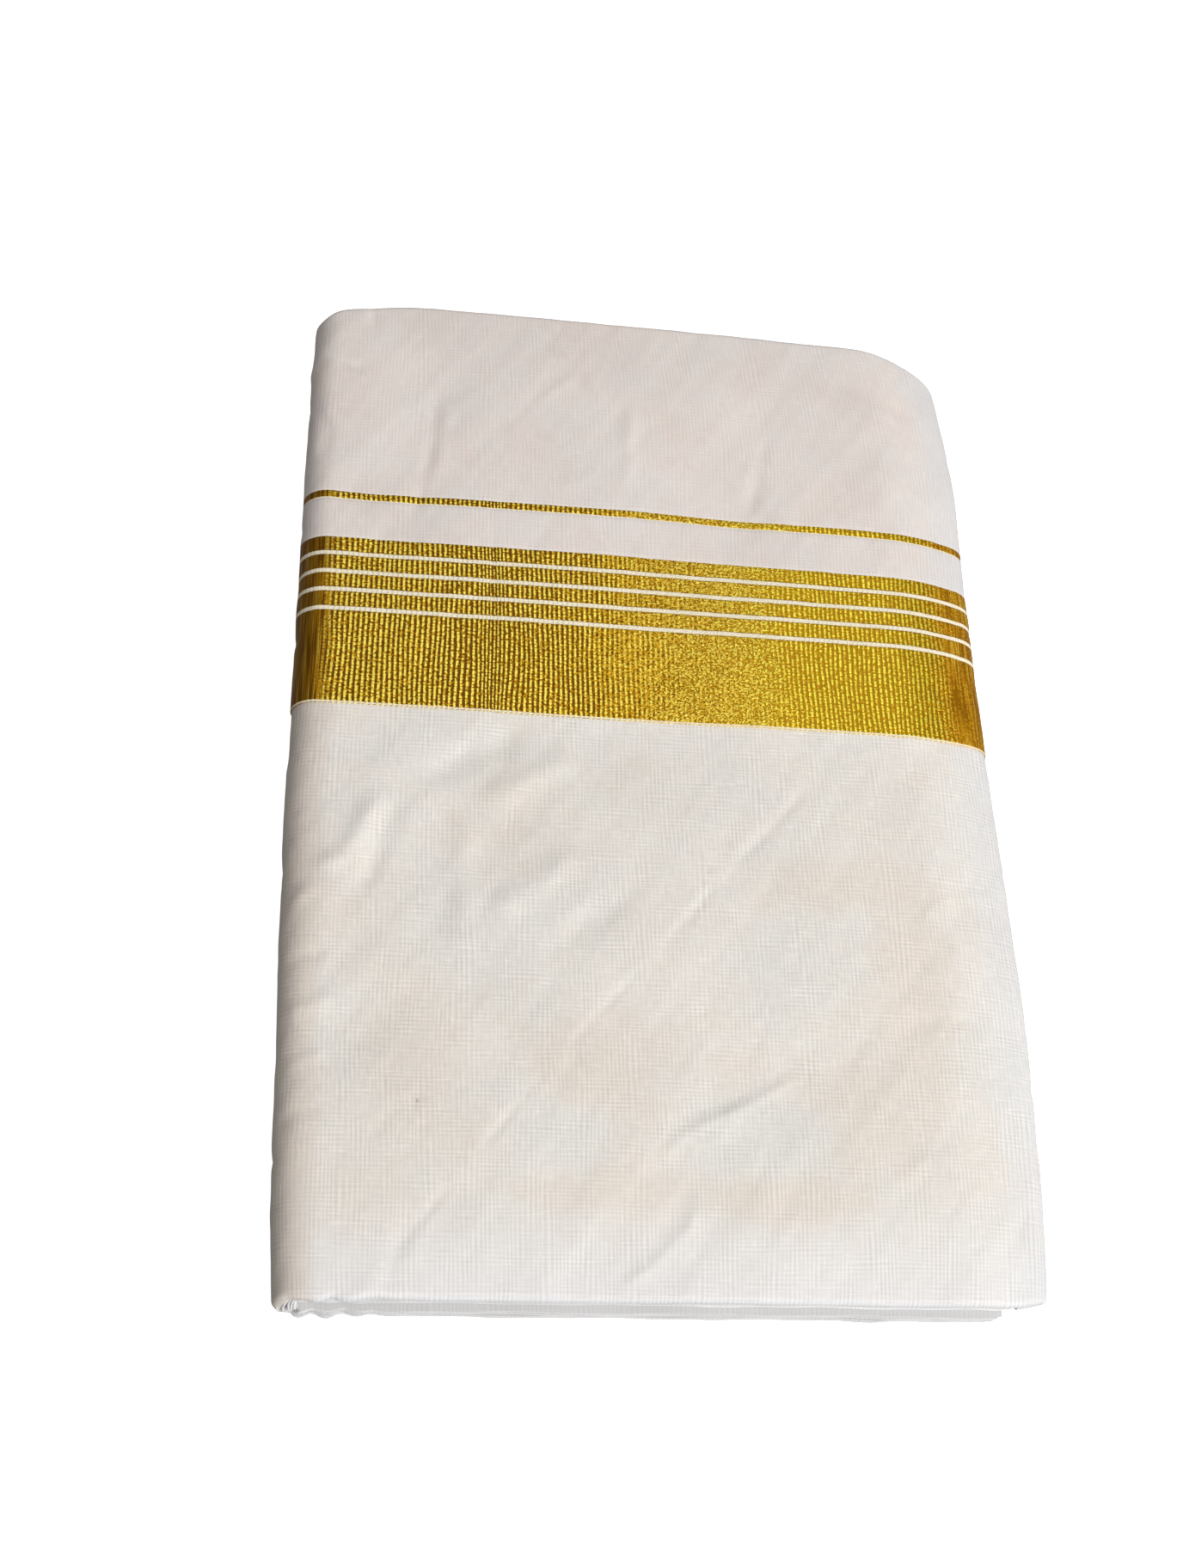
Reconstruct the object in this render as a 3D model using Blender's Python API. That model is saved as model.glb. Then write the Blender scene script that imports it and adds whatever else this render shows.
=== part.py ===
"""A folded dhoti: one long cotton cloth with a gold border, folded flat into a bundle and lying on a surface.

The cloth is first folded across its width, so that its border edge lies on the front as a flap, and is then
halved four times along its length. The last halving leaves a smooth spine on the left, and two stacked groups of
plies on the right: the upper group ends in a smooth nose that overhangs the lower one. The near and far ends show
every ply.

+X is to the right, +Y away from the viewer and +Z up. The origin is the centre of the footprint, on the
surface. The solids share one family of points: a cross-section path round the bundle (nose, top, spine,
underside), rows along Y, and a depth measured inwards from the outermost surface.
"""

import functools
import math

import bmesh
import bpy
import numpy as np

MM = 0.001

# Driving dimensions
CLOTH_WALL = 1.0 * MM
PLY_GAP = 0.3 * MM
RIM = 0.3 * MM  # how far a wall's rounded rim stands out past its faces
SLIT = 0.5 * MM  # air between the upper and lower group of plies
PLIES_INSIDE = 7  # plies in each group under the outermost one
SELVEDGE_Y = 11.8 * MM  # free edge of the flap, and near edge of the gold border
BORDER_FAR_Y = 76.9 * MM
LINE_NEAR_Y = 93.2 * MM  # the thin gold line beyond the border
LINE_FAR_Y = 96.4 * MM
NOSE_RADIUS = 6.5 * MM  # horizontal radius of the upper group's right edge
LOWER_NOSE = 5.0 * MM  # the same for the lower group
TUCK = 4.0 * MM  # how far the outer cloth runs back in under the nose
TUCK_ROOM = (6.0 * MM, 12.0 * MM)  # from the nose: between these the hidden layers rise over the tuck
UNDER_END = 4.0 * MM  # the outer cloth's cut end, inside the lower group's edge
TOP_SETBACK = 1.7 * MM  # the top plies' ends, inside the lowest plies'
FLAP_LIP = 2 * CLOTH_WALL + PLY_GAP  # radius of the flap's fold over the front panel's far end
PANEL_LIP = 2 * CLOTH_WALL  # radius of the front panel's fold at its near end
PLY_SHOULDERS = (0.28, 0.72)  # where a ply's edge is rounded, as shares of its thickness
PLY_GROOVE = 0.9 * MM  # depth of the notch between two plies
PLY_SCATTER = 0.7 * MM  # how unevenly the plies' edges line up
NEAR_SHIFT = 4  # in plies: the scatter at the near end, against that at the far end
SETTLE_LENGTH = 38.0 * MM  # the front panel sinks under the flap over this length,
SETTLE_EARLY = 1.0 * MM  # and is fully down this far before the flap's free edge
CROWN = 0.9 * MM  # how much the middle stands above the sides
DROOP_LENGTH = 36.0 * MM  # how far from the right edge the top starts to droop
SPINE_EASE = 0.4 * MM  # the spine's extra radius, which gives the inner plies room to turn

# One row for each section along Y, in millimetres: the outermost surface's left and right edge, the lower
# group's right edge, the thickness, and how far the right edge droops towards the surface below.
SECTION_COLUMNS = ("y", "left", "right", "under_right", "thick", "droop")
SECTIONS = (
    (-186, -120.6, 119.5, 105.0, 15.0, 4.4),
    (-168, -121.8, 121.2, 106.5, 15.8, 4.4),
    (-110, -123.1, 123.8, 107.5, 16.2, 4.6),
    (-88, -123.5, 124.2, 108.0, 16.3, 4.7),
    (-20, -124.2, 123.2, 109.0, 17.0, 5.2),
    (30, -123.6, 122.1, 110.0, 18.2, 5.6),
    (90, -123.0, 122.4, 110.0, 18.5, 6.0),
    (130, -122.6, 123.3, 110.0, 18.4, 6.4),
    (160, -121.8, 121.6, 108.0, 17.8, 6.8),
    (186, -120.6, 118.8, 105.0, 15.9, 6.4),
)

# One row for each place across X, in millimetres: where the lowest plies end, near and far.
END_COLUMNS = ("x", "near", "far")
ENDS = (
    (-124, -185.9, 175.5),
    (-117, -186.0, 180.0),
    (-104, -186.0, 183.0),
    (-88, -186.0, 185.6),
    (-66, -186.0, 186.0),
    (0, -186.0, 186.0),
    (60, -186.0, 186.0),
    (82, -186.0, 186.0),
    (97, -185.9, 185.2),
    (108, -185.4, 182.4),
    (124, -182.6, 175.5),
)
END_ZONE = 150.0 * MM  # rows beyond this stretch to meet the plies' ends
END_ROW = 186.0 * MM

# The largest soft folds in the top, in millimetres: a ridge, or with a negative height a trough, from one
# point to another, with a rounded section of that width.
FOLDS = (
    # x0, y0, x1, y1, width, height
    (-92, -168, 62, 0, 10, 0.35),
    (-120, -72, -84, -18, 15, 0.9),
    (-74, -30, 4, 14, 26, -1.1),
    (-122, -112, -88, -96, 11, -0.8),
    (4, -134, 52, -108, 15, -0.7),
    (-16, -180, 12, -146, 14, -0.6),
    (-80, 146, -90, 84, 14, -0.7),
    (38, 136, 30, 96, 16, -0.7),
    (-4, 150, -12, 104, 20, 0.5),
    (-122, 140, -104, 102, 12, -0.8),
    (70, 168, 118, 150, 22, -0.7),
    (60, -60, 118, -84, 30, 0.6),
    (30, 30, 118, 52, 30, 0.5),
    (-110, 40, -30, 60, 30, 0.5),
)

# Rows along Y, in millimetres, that every solid shares, so that facets that lie on each other are parallel.
NEAR_ROWS = (-180, -174, -165)
BODY_ROWS = (-150, -132, -114, -97, -80, -64, -48, -34, -22, -13, -5, 3, 10.5)
BAND_ROWS = (34, 56)
FAR_ROWS = (112, 130, 148, 163, 174, 180, 183.7)


def smooth_through(rows, column, at):
    """The value of a table's column at a place along its first column, on a smooth curve through the rows."""
    table = np.array(rows) * MM
    knots, values = table[:, 0], table[:, column]
    slopes = np.gradient(values, knots)
    at = min(max(at, knots[0]), knots[-1])
    i = min(int(np.searchsorted(knots, at, side="right")) - 1, len(knots) - 2)
    span = knots[i + 1] - knots[i]
    t = (at - knots[i]) / span
    from_start = (2 * t**3 - 3 * t**2 + 1) * values[i] + (t**3 - 2 * t**2 + t) * span * slopes[i]
    from_end = (3 * t**2 - 2 * t**3) * values[i + 1] + (t**3 - t**2) * span * slopes[i + 1]
    return float(from_start + from_end)


@functools.cache
def section(name, y):
    return smooth_through(SECTIONS, SECTION_COLUMNS.index(name), y)


@functools.cache
def end(name, x):
    return smooth_through(ENDS, END_COLUMNS.index(name), x)


def ease(t):
    """0 to 1, with flat ends."""
    t = min(max(t, 0.0), 1.0)
    return t * t * (3 - 2 * t)


def fold_height(x, y):
    """Sum of the soft ridges and troughs at a point of the top."""
    total = 0.0
    for row in FOLDS:
        x0, y0, x1, y1, width, height = (value * MM for value in row)
        length = math.hypot(x1 - x0, y1 - y0)
        along_x, along_y = (x1 - x0) / length, (y1 - y0) / length
        run = (x - x0) * along_x + (y - y0) * along_y
        side = (y - y0) * along_x - (x - x0) * along_y
        past_end = max(-run, run - length, 0.0)
        total += height * math.exp(-((side / width) ** 2) - (past_end / width) ** 2)
    return total


@functools.cache
def top_height(x, y):
    """Height of the outermost surface above the surface below, between the spine and the nose."""
    middle = (section("left", y) + section("right", y)) / 2
    half = (section("right", y) - section("left", y)) / 2
    crown = CROWN * (1 - ((x - middle) / half) ** 2)
    reach = (x - section("right", y) + DROOP_LENGTH) / (DROOP_LENGTH - NOSE_RADIUS)
    reach = min(max(reach, 0.0), 1.0)
    return section("thick", y) + crown + fold_height(x, y) - reach**2 * section("droop", y)


@functools.cache
def spine_half(y):
    """Half the bundle's thickness at the spine, which is also the thickness of each group of plies."""
    return top_height(section("left", y) + section("thick", y) / 2, y) / 2


def spine_radius(y):
    return spine_half(y) + SPINE_EASE


def spine_centre(y):
    return section("left", y) + spine_radius(y)


def nose_half(y):
    """Vertical radius of the upper group's nose."""
    return (spine_half(y) - SLIT / 2) / 2


def nose_centre(y):
    return section("right", y) - NOSE_RADIUS


def nose_lean(y):
    """How steeply the drooping top meets the nose, which leans down with it."""
    return 2 * section("droop", y) / (DROOP_LENGTH - NOSE_RADIUS)


# The cross-section path, from under the nose to the cut end on the underside: the stretch, and a place on it,
# which is a share of the stretch's length or an angle in degrees.
TUCK_STEPS = [("tuck", t) for t in (0.0, 0.5)]
NOSE_STEPS = [("nose", a) for a in (-90, -65, -40, -15, 10, 35, 62)]
TOP_SHARES = (0, 0.018, 0.036, 0.065, 0.11, 0.16, 0.22, 0.3, 0.38, 0.46, 0.54, 0.62, 0.7, 0.78, 0.85, 0.91, 0.96)
TOP_STEPS = [("top", t) for t in TOP_SHARES]
SPINE_STEPS = [("spine", a) for a in (90, 112, 134, 157, 180, 203, 226, 248)]
UNDER_STEPS = [("under", t) for t in (0, 0.06, 0.15, 0.3, 0.5, 0.7, 0.86, 0.95)]
WRAP_PATH = TUCK_STEPS + NOSE_STEPS + TOP_STEPS + SPINE_STEPS + UNDER_STEPS + [("under", 1.0)]
CORE_NOSE_ANGLES = (78, 52, 26)
TUCK_SHARE = 0.05  # the share of the top that lies over the tuck


@functools.cache
def nominal_x(step):
    """Where a step of the path is across X, on the bundle's middle row."""
    stretch, t = step
    angle = math.radians(t)
    if stretch == "tuck":
        return nose_centre(0) - TUCK * (1 - t)
    if stretch == "nose":
        return nose_centre(0) + NOSE_RADIUS * math.cos(angle)
    if stretch == "top":
        return nose_centre(0) + t * (spine_centre(0) - nose_centre(0))
    if stretch == "spine":
        return spine_centre(0) + spine_radius(0) * math.cos(angle)
    return spine_centre(0) + t * (section("under_right", 0) - UNDER_END - spine_centre(0))


def setback(step):
    """How far the cloth ends inside the lowest plies, at one step of the path."""
    stretch, t = step
    if stretch == "under":
        return 0.0
    if stretch == "spine":
        return TOP_SETBACK * ease((215 - t) / 125)
    return TOP_SETBACK


def row_y(row, step):
    """A row's real Y on one step of the path: the rows past END_ZONE stretch to meet the plies' ends."""
    x = nominal_x(step)
    share = (abs(row) - END_ZONE) / (END_ROW - END_ZONE)
    if row > END_ZONE:
        return END_ZONE + share * (end("far", x) - setback(step) - END_ZONE)
    if row < -END_ZONE:
        return -END_ZONE + share * (end("near", x) + setback(step) + END_ZONE)
    return row


def wrap_point(step, y, depth):
    """A point of the outer cloth: a step of the path, a place along Y, and a depth inwards."""
    stretch, t = step
    angle = math.radians(t)
    if stretch == "tuck":
        x = nose_centre(y) - TUCK * (1 - t)
        return (x, y, top_height(x, y) - 2 * nose_half(y) + depth)
    if stretch == "nose":
        across, up = NOSE_RADIUS - depth, nose_half(y) - depth
        out = across * math.cos(angle)
        centre = top_height(nose_centre(y), y) - nose_half(y) - nose_lean(y) * out
        return (nose_centre(y) + out, y, centre + up * math.sin(angle))
    if stretch == "top":
        x = nose_centre(y) + t * (spine_centre(y) - nose_centre(y))
        return (x, y, top_height(x, y) - depth)
    if stretch == "spine":
        across, up = spine_radius(y) - depth, spine_half(y) - depth
        return (spine_centre(y) + across * math.cos(angle), y, spine_half(y) + up * math.sin(angle))
    x = spine_centre(y) + t * (section("under_right", y) - UNDER_END - spine_centre(y))
    return (x, y, depth)


def flap_depth(_y):
    return 0.0


def panel_depth(y):
    """Depth of the front panel's outer face: 0 where it shows, and one wall and gap under the flap."""
    sunk = (y - SELVEDGE_Y + SETTLE_LENGTH) / (SETTLE_LENGTH - SETTLE_EARLY)
    return (CLOTH_WALL + PLY_GAP) * ease(sunk)


def core_depth(y):
    """Depth of the hidden layers' outer face."""
    return panel_depth(y) + CLOTH_WALL + PLY_GAP


def closed_mesh(name, rings, material, end_pieces=None):
    """A solid from rings of points, each ring joined to the next, with the first and last ring filled.

    End pieces, if given, are the parts that an end ring is filled in, each a list of places in the ring.
    """
    mesh = bmesh.new()
    loops = [[mesh.verts.new(point) for point in ring] for ring in rings]
    count = len(loops[0])
    for first, second in zip(loops, loops[1:]):
        for i in range(count):
            j = (i + 1) % count
            mesh.faces.new((first[i], first[j], second[j], second[i]))
    for piece in end_pieces or [list(range(count))]:
        mesh.faces.new([loops[0][i] for i in reversed(piece)])
        mesh.faces.new([loops[-1][i] for i in piece])
    bmesh.ops.triangulate(mesh, faces=mesh.faces)
    bmesh.ops.recalc_face_normals(mesh, faces=mesh.faces)
    data = bpy.data.meshes.new(name)
    mesh.to_mesh(data)
    mesh.free()
    data.materials.append(material)
    data.shade_smooth()
    data.set_sharp_from_angle(angle=math.radians(50))
    solid = bpy.data.objects.new(name, data)
    bpy.context.collection.objects.link(solid)


def wall_edge(step, y, depth, lip, outwards):
    """The points round one end of a wall, from its outer face to its inner face.

    With no lip the end is a rounded rim. A lip turns the wall inwards through a quarter circle. Outwards is 1 at
    the far end and -1 at the near end.
    """
    if not lip:
        return [wrap_point(step, y + outwards * RIM, depth + CLOTH_WALL / 2)]

    def arc(radius):
        turn = [math.radians(a) for a in (30, 60, 90)]
        reach = [(y + outwards * radius * math.sin(a), depth + lip - radius * math.cos(a)) for a in turn]
        return [wrap_point(step, place, level) for place, level in reach]

    return arc(lip) + arc(lip - CLOTH_WALL)[::-1]


def cloth_wall(name, rows, depth_at, material, near_lip=0.0, far_lip=0.0):
    """A wall of cloth that wraps the bundle, from under the nose to its cut end on the underside."""
    rings = []
    for step in WRAP_PATH:
        places = [row_y(row, step) for row in rows]
        outer = [wrap_point(step, y, depth_at(y)) for y in places]
        inner = [wrap_point(step, y, depth_at(y) + CLOTH_WALL) for y in places]
        far_edge = wall_edge(step, places[-1], depth_at(places[-1]), far_lip, 1)
        near_edge = wall_edge(step, places[0], depth_at(places[0]), near_lip, -1)
        rings.append(outer + far_edge + inner[::-1] + near_edge[::-1])
    closed_mesh(name, rings, material)


def in_metres(*groups):
    return [row * MM for group in groups for row in group]


def front_panel(material):
    """The cloth under the flap, which shows from its fold at the near end to the flap's free edge."""
    rows = [-END_ROW + PANEL_LIP] + in_metres(NEAR_ROWS, BODY_ROWS) + [SELVEDGE_Y]
    rows += in_metres(BAND_ROWS) + [BORDER_FAR_Y, LINE_NEAR_Y, LINE_FAR_Y] + in_metres(FAR_ROWS)
    cloth_wall("front_panel", rows, panel_depth, material, near_lip=PANEL_LIP)


def flap(white, gold):
    """The flap's stretches, from its free edge to its fold over the far end."""
    trim = PLY_GAP / 2 + RIM
    cloth_wall("border_band", [SELVEDGE_Y] + in_metres(BAND_ROWS) + [BORDER_FAR_Y - trim], flap_depth, gold)
    cloth_wall("flap_gap", [BORDER_FAR_Y + trim, LINE_NEAR_Y - trim], flap_depth, white)
    cloth_wall("border_line", [LINE_NEAR_Y + trim, LINE_FAR_Y - trim], flap_depth, gold)
    rows = [LINE_FAR_Y + trim] + in_metres(FAR_ROWS)
    cloth_wall("flap_cloth", rows, flap_depth, white, far_lip=FLAP_LIP)


def ply_scatter(index, ply):
    """How far one ply's edge lies inside the furthest one's, which wanders a little along the path."""
    wander = 0.5 + 0.5 * math.sin(2.4 * ply + 0.35 * index + 0.8 * math.sin(1.7 * ply))
    return PLY_SCATTER * wander


def core_span(step, y):
    """The hidden layers' outermost and innermost place, as (x, z) pairs, at one step of their path."""
    stretch, t = step
    shell = core_depth(y)
    angle = math.radians(t)
    if stretch == "upper_nose":
        x = nose_centre(y) + (NOSE_RADIUS - shell) * math.sin(angle)
        centre = top_height(nose_centre(y), y) - nose_half(y) - nose_lean(y) * (x - nose_centre(y))
        half = (nose_half(y) - shell) * math.cos(angle)
        return (x, centre + half), (x, centre - half)
    if stretch == "top":
        x = nose_centre(y) + t * (spine_centre(y) - nose_centre(y))
        near_tuck, past_tuck = TUCK_ROOM
        tuck_room = shell * ease((x - nose_centre(y) + past_tuck) / (past_tuck - near_tuck))
        return (x, top_height(x, y) - shell), (x, top_height(x, y) - 2 * nose_half(y) + tuck_room)
    if stretch == "spine":
        outer = (spine_radius(y) - shell, spine_half(y) - shell)
        inner = (SPINE_EASE + SLIT / 2, SLIT / 2)
        return tuple(
            (spine_centre(y) + across * math.cos(angle), spine_half(y) + up * math.sin(angle))
            for across, up in (outer, inner)
        )
    right = section("under_right", y)
    if stretch == "under":
        x = spine_centre(y) + t * (right - LOWER_NOSE - spine_centre(y))
        return (x, shell), (x, top_height(x, y) - spine_half(y) - SLIT / 2)
    x = right - LOWER_NOSE + LOWER_NOSE * math.sin(angle)
    high = top_height(x, y) - spine_half(y) - SLIT / 2
    centre, half = (shell + high) / 2, (high - shell) / 2 * math.cos(angle)
    return (x, centre - half), (x, centre + half)


def core_rows():
    rows = in_metres(NEAR_ROWS, BODY_ROWS) + [SELVEDGE_Y] + in_metres(BAND_ROWS)
    return rows + [BORDER_FAR_Y, LINE_NEAR_Y, LINE_FAR_Y] + in_metres(FAR_ROWS[:-2])


def core_ring(index, step):
    """One cross-section of the hidden layers: outer face, plies' far ends, inner face, plies' near ends."""
    stretch, t = step
    wrap_step = {"upper_nose": ("nose", 90 - t), "lower_nose": ("under", 1.0)}.get(stretch, step)

    def point(y, share):
        (x0, z0), (x1, z1) = core_span(step, y)
        return (x0 + share * (x1 - x0), y, z0 + share * (z1 - z0))

    places = [row_y(row, wrap_step) for row in core_rows()]
    outer_face = [point(y, 0.0) for y in places]
    inner_face = [point(y, 1.0) for y in places]
    near = row_y(-END_ROW, wrap_step)
    far = row_y(END_ROW, wrap_step) - PLY_GAP
    in_nose = stretch == "upper_nose"
    over_tuck = stretch == "top" and t < TUCK_SHARE
    near_edge, far_edge = [], []
    for ply in range(PLIES_INSIDE):
        by_lip = in_nose or ply == 0 or over_tuck and ply == PLIES_INSIDE - 1
        near_out = near + ply_scatter(index, ply + NEAR_SHIFT) + (PANEL_LIP + PLY_GAP if by_lip else 0.0)
        far_out = far - ply_scatter(index, ply)
        for share in PLY_SHOULDERS:
            near_edge.append(point(near_out, (ply + share) / PLIES_INSIDE))
            far_edge.append(point(far_out, (ply + share) / PLIES_INSIDE))
        if ply < PLIES_INSIDE - 1:
            near_edge.append(point(near_out + PLY_GROOVE, (ply + 1) / PLIES_INSIDE))
            far_edge.append(point(far_out - PLY_GROOVE, (ply + 1) / PLIES_INSIDE))
    return outer_face + far_edge + inner_face[::-1] + near_edge[::-1]


def core_end_pieces(count):
    """The parts that an end ring of the hidden layers is filled in: one for each row, and one for each edge."""
    rows = len(core_rows())
    edge = (count - 2 * rows) // 2
    inner = [2 * rows + edge - 1 - row for row in range(rows)]
    pieces = [[row, row + 1, inner[row + 1], inner[row]] for row in range(rows - 1)]
    pieces.append(list(range(rows - 1, rows + edge + 1)))
    pieces.append([0] + list(range(inner[0], count)))
    return pieces


def hidden_layers(material):
    """All the plies that the outer cloth hides, as one solid folded round the spine, with layered ends."""
    path = [("upper_nose", a) for a in CORE_NOSE_ANGLES] + TOP_STEPS + SPINE_STEPS + UNDER_STEPS
    path += [("lower_nose", a) for a in (0,) + CORE_NOSE_ANGLES[::-1]]
    rings = [core_ring(index, step) for index, step in enumerate(path)]
    closed_mesh("hidden_layers", rings, material, core_end_pieces(len(rings[0])))


def cloth_material(name, colour, roughness, metallic):
    material = bpy.data.materials.new(name)
    material.use_nodes = True
    shader = material.node_tree.nodes["Principled BSDF"]
    shader.inputs["Base Color"].default_value = (*colour, 1.0)
    shader.inputs["Roughness"].default_value = roughness
    shader.inputs["Metallic"].default_value = metallic
    material.diffuse_color = (*colour, 1.0)
    return material


def build():
    for thing in list(bpy.data.objects):
        bpy.data.objects.remove(thing)
    cotton = cloth_material("cotton_white", (0.86, 0.84, 0.81), 0.85, 0.0)
    gold = cloth_material("zari_gold", (0.62, 0.44, 0.07), 0.38, 0.8)
    hidden_layers(cotton)
    front_panel(cotton)
    flap(cotton, gold)


build()
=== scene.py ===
"""The looks of a folded dhoti: white cotton plies with a woven gold border, lying flat on a white surface.

Every stretch of cloth that shows is a thin shell on its solid's form, and the plies inside are one long
ribbon, folded to and fro. Each point of cloth has a place on it: how far along the wrap it lies, which is X
on the top, and how far along Y. The creases, the weave and the gold border are laid out by that place.
"""

import math

import bmesh
import bpy
import numpy as np
from mathutils import Matrix, Vector


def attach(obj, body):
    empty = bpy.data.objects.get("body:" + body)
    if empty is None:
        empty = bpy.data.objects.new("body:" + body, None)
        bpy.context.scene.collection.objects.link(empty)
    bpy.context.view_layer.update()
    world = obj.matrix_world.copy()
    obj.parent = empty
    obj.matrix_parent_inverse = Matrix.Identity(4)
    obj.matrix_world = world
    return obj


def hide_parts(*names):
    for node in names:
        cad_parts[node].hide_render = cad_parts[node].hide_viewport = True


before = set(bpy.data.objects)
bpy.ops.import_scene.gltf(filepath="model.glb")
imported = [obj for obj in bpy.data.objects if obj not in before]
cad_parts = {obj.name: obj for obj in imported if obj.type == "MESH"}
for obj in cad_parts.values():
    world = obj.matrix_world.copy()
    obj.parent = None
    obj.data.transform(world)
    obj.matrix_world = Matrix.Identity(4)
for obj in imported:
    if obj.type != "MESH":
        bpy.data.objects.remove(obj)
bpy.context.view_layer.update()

MM = 0.001

# Sizes of the folded bundle, the same as its solids have
CLOTH_WALL = 1.0 * MM
PLY_GAP = 0.3 * MM
SLIT = 0.5 * MM
SELVEDGE_Y = 11.8 * MM
BORDER_FAR_Y = 76.9 * MM
LINE_NEAR_Y = 93.2 * MM
LINE_FAR_Y = 96.4 * MM
NOSE_RADIUS = 6.5 * MM
TUCK = 4.0 * MM
UNDER_END = 4.0 * MM
LOWER_FORWARD = 0.6 * MM  # how far the lowest plies' near edges stand out past the front panel's fold
TOP_SETBACK = 1.7 * MM
FLAP_LIP = 2 * CLOTH_WALL + PLY_GAP
PANEL_LIP = 2 * CLOTH_WALL
SETTLE_LENGTH = 38.0 * MM
SETTLE_EARLY = 1.0 * MM
CROWN = 0.9 * MM
DROOP_LENGTH = 36.0 * MM
SPINE_EASE = 0.4 * MM
END_ZONE = 150.0 * MM
END_ROW = 186.0 * MM

# The shells, which are thinner than the solids
SHELL = 0.55 * MM
FLAP_SHELL = 0.42 * MM
PANEL_SINK = 0.46 * MM  # how far the front panel lies under the flap's face at the flap's free edge,
UNDER_FLAP = 0.9 * MM  # and how much further inside

PLY_RIM = 0.5 * MM  # how far the plies' edges round out past their faces

# One row for each section along Y, in millimetres
SECTION_COLUMNS = ("y", "left", "right", "under_right", "thick", "droop")
SECTIONS = (
    (-186, -120.6, 119.5, 105.0, 15.0, 4.4),
    (-168, -121.8, 121.2, 106.5, 15.8, 4.4),
    (-110, -123.1, 123.8, 107.5, 16.2, 4.6),
    (-88, -123.5, 124.2, 108.0, 16.3, 4.7),
    (-20, -124.2, 123.2, 109.0, 17.0, 5.2),
    (30, -123.6, 122.1, 110.0, 18.2, 5.6),
    (90, -123.0, 122.4, 110.0, 18.5, 6.0),
    (130, -122.6, 123.3, 110.0, 18.4, 6.4),
    (160, -121.8, 121.6, 108.0, 17.8, 6.8),
    (186, -120.6, 118.8, 105.0, 15.9, 6.4),
)

# One row for each place across X, in millimetres: where the lowest plies end
END_COLUMNS = ("x", "near", "far")
ENDS = (
    (-124, -185.9, 175.5),
    (-117, -186.0, 180.0),
    (-104, -186.0, 183.0),
    (-88, -186.0, 185.6),
    (-66, -186.0, 186.0),
    (0, -186.0, 186.0),
    (60, -186.0, 186.0),
    (82, -186.0, 186.0),
    (97, -185.9, 185.2),
    (108, -185.4, 182.4),
    (124, -182.6, 175.5),
)

# The largest soft folds in the top, in millimetres, which the solids have too, the first one a little higher
FOLDS = (
    # x0, y0, x1, y1, width, height
    (-92, -168, 62, 0, 10, 0.1),
    (-120, -72, -84, -18, 15, 0.9),
    (-74, -30, 4, 14, 26, -1.1),
    (-122, -112, -88, -96, 11, -0.8),
    (4, -134, 52, -108, 15, -0.7),
    (-16, -180, 12, -146, 14, -0.6),
    (-80, 146, -90, 84, 14, -0.7),
    (38, 136, 30, 96, 16, -0.7),
    (-4, 150, -12, 104, 20, 0.5),
    (-122, 140, -104, 102, 12, -0.8),
    (70, 168, 118, 150, 22, -0.7),
    (60, -60, 118, -84, 30, 0.6),
    (30, 30, 118, 52, 30, 0.5),
    (-110, 40, -30, 60, 30, 0.5),
)

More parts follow.
